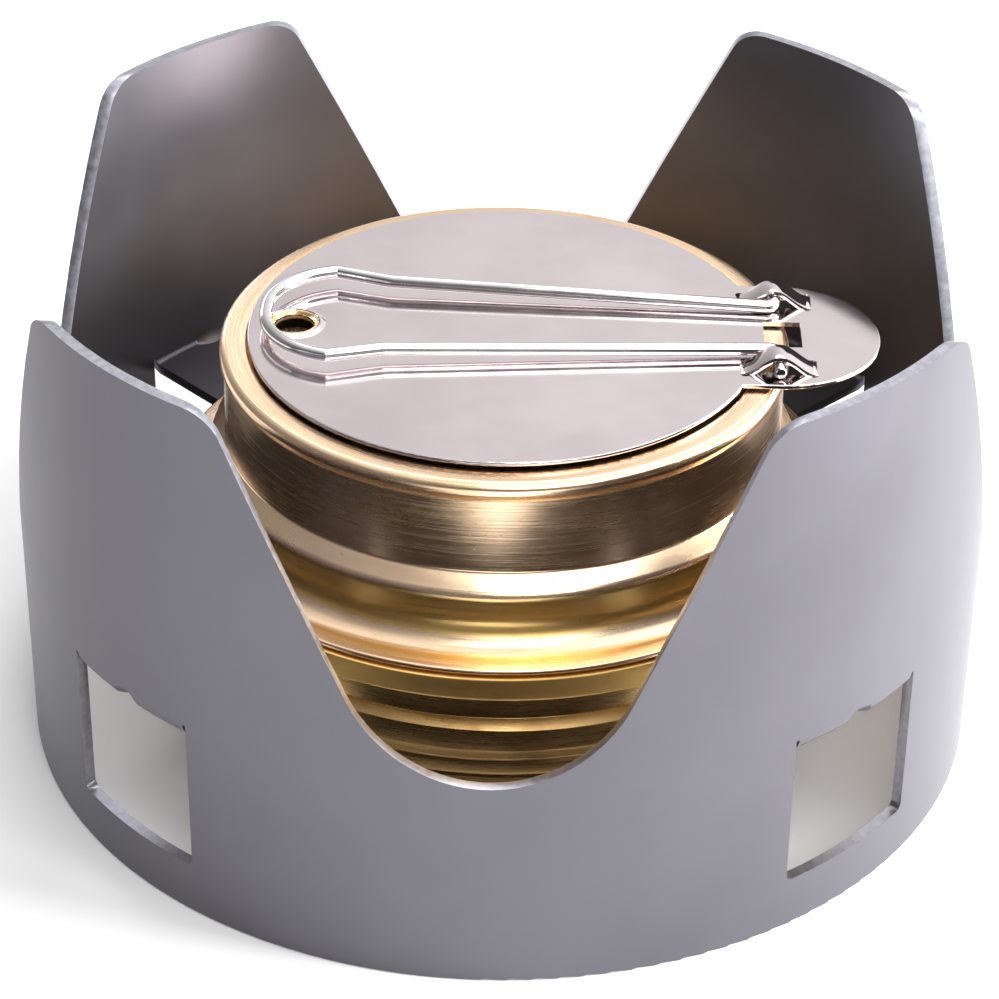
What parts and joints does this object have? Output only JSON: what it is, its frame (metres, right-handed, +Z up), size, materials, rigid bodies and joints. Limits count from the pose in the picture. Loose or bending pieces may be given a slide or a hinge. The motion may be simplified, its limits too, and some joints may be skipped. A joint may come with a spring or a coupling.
{
  "type": "alcohol spirit stove",
  "caption": "Spirit stove: pronged metal stand with notches and windows, brass burner resting on bent ledges, simmer cap with swinging shutter and folding wire handle.",
  "frame": {"origin": "centre of the stand's base ring, on the surface it stands on", "axes": "+Z up; +X towards the regulator's thumb tab, through the middle of a notch; +Y through the next notch"},
  "size_m": [0.1052, 0.1052, 0.0612],
  "materials": {
    "anodised_aluminium": "satin grey anodised",
    "burner_brass": "spun and turned, lightly brushed",
    "cap_brass": "spun, polished",
    "polished_steel": "bright polished sheet",
    "handle_wire": "bright drawn wire",
    "cotton": "packed cotton fibre"
  },
  "bodies": {
    "stand": {"stand": "anodised_aluminium"},
    "burner": {"burner_cup": "burner_brass", "burner_neck": "burner_brass", "fuel_well": "burner_brass", "wick": "cotton"},
    "regulator": {"regulator_cap": "cap_brass", "pivot_eyelet": "cap_brass", "pivot_washer": "cap_brass"},
    "shutter": {"shutter_disc": "polished_steel"},
    "handle": {"wire_handle": "handle_wire"}
  },
  "joints": [
    {"name": "burner_lift", "type": "slide", "parent": "stand", "child": "burner", "axis": [0, 0, 1], "range_m": [0, 0.062]},
    {"name": "regulator_lift", "type": "slide", "parent": "burner", "child": "regulator", "axis": [0, 0, 1], "range_m": [0, 0.036]},
    {"name": "shutter_swing", "type": "hinge", "parent": "regulator", "child": "shutter", "pos_m": [-0.0225, 0, 0.04555], "axis": [0, 0, 1], "range_deg": [-60, 60]},
    {"name": "handle_fold", "type": "hinge", "parent": "shutter", "child": "handle", "pos_m": [0.029, 0, 0.0466], "axis": [0, 1, 0], "range_deg": [0, 176]}
  ]
}
